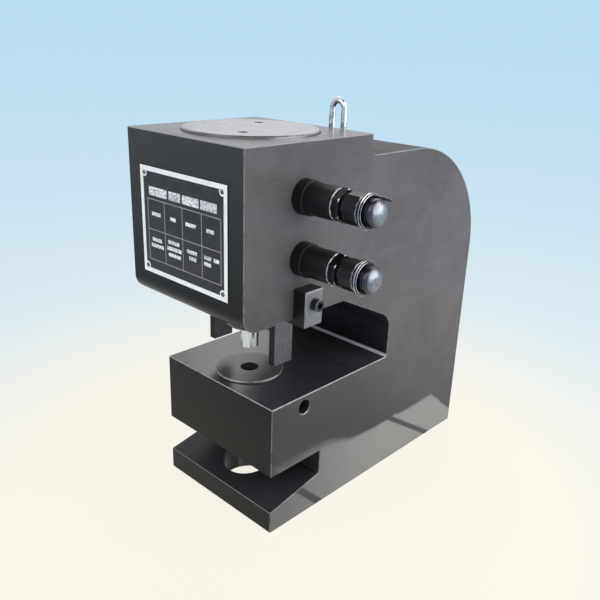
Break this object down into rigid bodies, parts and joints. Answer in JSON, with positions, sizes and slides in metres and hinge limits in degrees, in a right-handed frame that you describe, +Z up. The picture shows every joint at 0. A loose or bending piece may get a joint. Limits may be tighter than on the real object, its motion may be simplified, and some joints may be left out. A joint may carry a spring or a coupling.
{
  "type": "hydraulic punching machine",
  "caption": "Deep-throated steel C-frame with a hydraulic ram, punch and die, two capped hose couplings and a lifting eye.",
  "frame": {"origin": "punch axis at the underside of the foot, in the centre of the foot's round hole", "axes": "+Z up along the punch axis; -Y is the machine's front, where the nameplate is; +X is the side with the two hydraulic couplings"},
  "size_m": [0.2691, 0.363, 0.4115],
  "materials": {
    "ground_steel": "ground and darkened steel",
    "lid_steel": "turned steel",
    "rod_chrome": "polished",
    "gland_bronze": "turned bronze",
    "seal_rubber": "matt black",
    "guide_plastic": "filled plastic",
    "nut_steel": "turned steel",
    "tool_steel": "ground tool steel",
    "black_steel": "blackened",
    "eye_chrome": "bright plated",
    "plate_enamel": "printed black and white",
    "rivet_steel": "bare steel",
    "spring_steel": "bare steel",
    "cap_metal": "satin plated"
  },
  "bodies": {
    "machine": {"frame_block": "ground_steel", "cylinder_lid": "lid_steel", "lid_seal": "seal_rubber", "rod_gland": "gland_bronze", "gland_seal": "seal_rubber", "rod_seal": "seal_rubber", "rod_wiper": "seal_rubber", "die": "tool_steel", "die_set_screw": "black_steel", "stripper_left": "ground_steel", "stripper_right": "ground_steel", "stripper_screws": "black_steel", "lifting_eye": "eye_chrome", "nameplate": "plate_enamel", "nameplate_rivets": "rivet_steel", "upper_port_washer": "rivet_steel", "upper_port_adapter": "black_steel", "upper_lock_ring": "rivet_steel", "upper_coupler_body": "black_steel", "upper_sleeve_clip": "spring_steel", "lower_port_washer": "rivet_steel", "lower_port_adapter": "black_steel", "lower_lock_ring": "rivet_steel", "lower_coupler_body": "black_steel", "lower_sleeve_clip": "spring_steel"},
    "ram": {"piston_rod": "rod_chrome", "piston_seal": "seal_rubber", "piston_guide_ring": "guide_plastic", "punch_nut": "nut_steel", "punch": "tool_steel"},
    "upper_sleeve": {"upper_coupler_sleeve": "black_steel"},
    "upper_cap": {"upper_dust_cap": "cap_metal", "upper_cap_seal": "seal_rubber", "upper_cap_loop": "rivet_steel"},
    "upper_valve": {"upper_valve_poppet": "rivet_steel", "upper_poppet_spring": "spring_steel"},
    "lower_sleeve": {"lower_coupler_sleeve": "black_steel"},
    "lower_cap": {"lower_dust_cap": "cap_metal", "lower_cap_seal": "seal_rubber", "lower_cap_loop": "rivet_steel"},
    "lower_valve": {"lower_valve_poppet": "rivet_steel", "lower_poppet_spring": "spring_steel"}
  },
  "joints": [
    {"name": "ram_stroke", "type": "slide", "parent": "machine", "child": "ram", "axis": [0, 0, -1], "range_m": [0, 0.028]},
    {"name": "upper_sleeve_turn", "type": "hinge", "parent": "machine", "child": "upper_sleeve", "pos_m": [0.14, -0.011, 0.3355], "axis": [1, 0, 0], "continuous": true},
    {"name": "upper_cap_pull", "type": "slide", "parent": "machine", "child": "upper_cap", "axis": [1, 0, 0], "range_m": [0, 0.02]},
    {"name": "upper_valve_push", "type": "slide", "parent": "machine", "child": "upper_valve", "axis": [-1, 0, 0], "range_m": [0, 0.004], "stiffness_N_per_m": 800, "springref_m": -0.002},
    {"name": "lower_sleeve_turn", "type": "hinge", "parent": "machine", "child": "lower_sleeve", "pos_m": [0.14, -0.011, 0.28], "axis": [1, 0, 0], "continuous": true},
    {"name": "lower_cap_pull", "type": "slide", "parent": "machine", "child": "lower_cap", "axis": [1, 0, 0], "range_m": [0, 0.02]},
    {"name": "lower_valve_push", "type": "slide", "parent": "machine", "child": "lower_valve", "axis": [-1, 0, 0], "range_m": [0, 0.004], "stiffness_N_per_m": 800, "springref_m": -0.002}
  ]
}
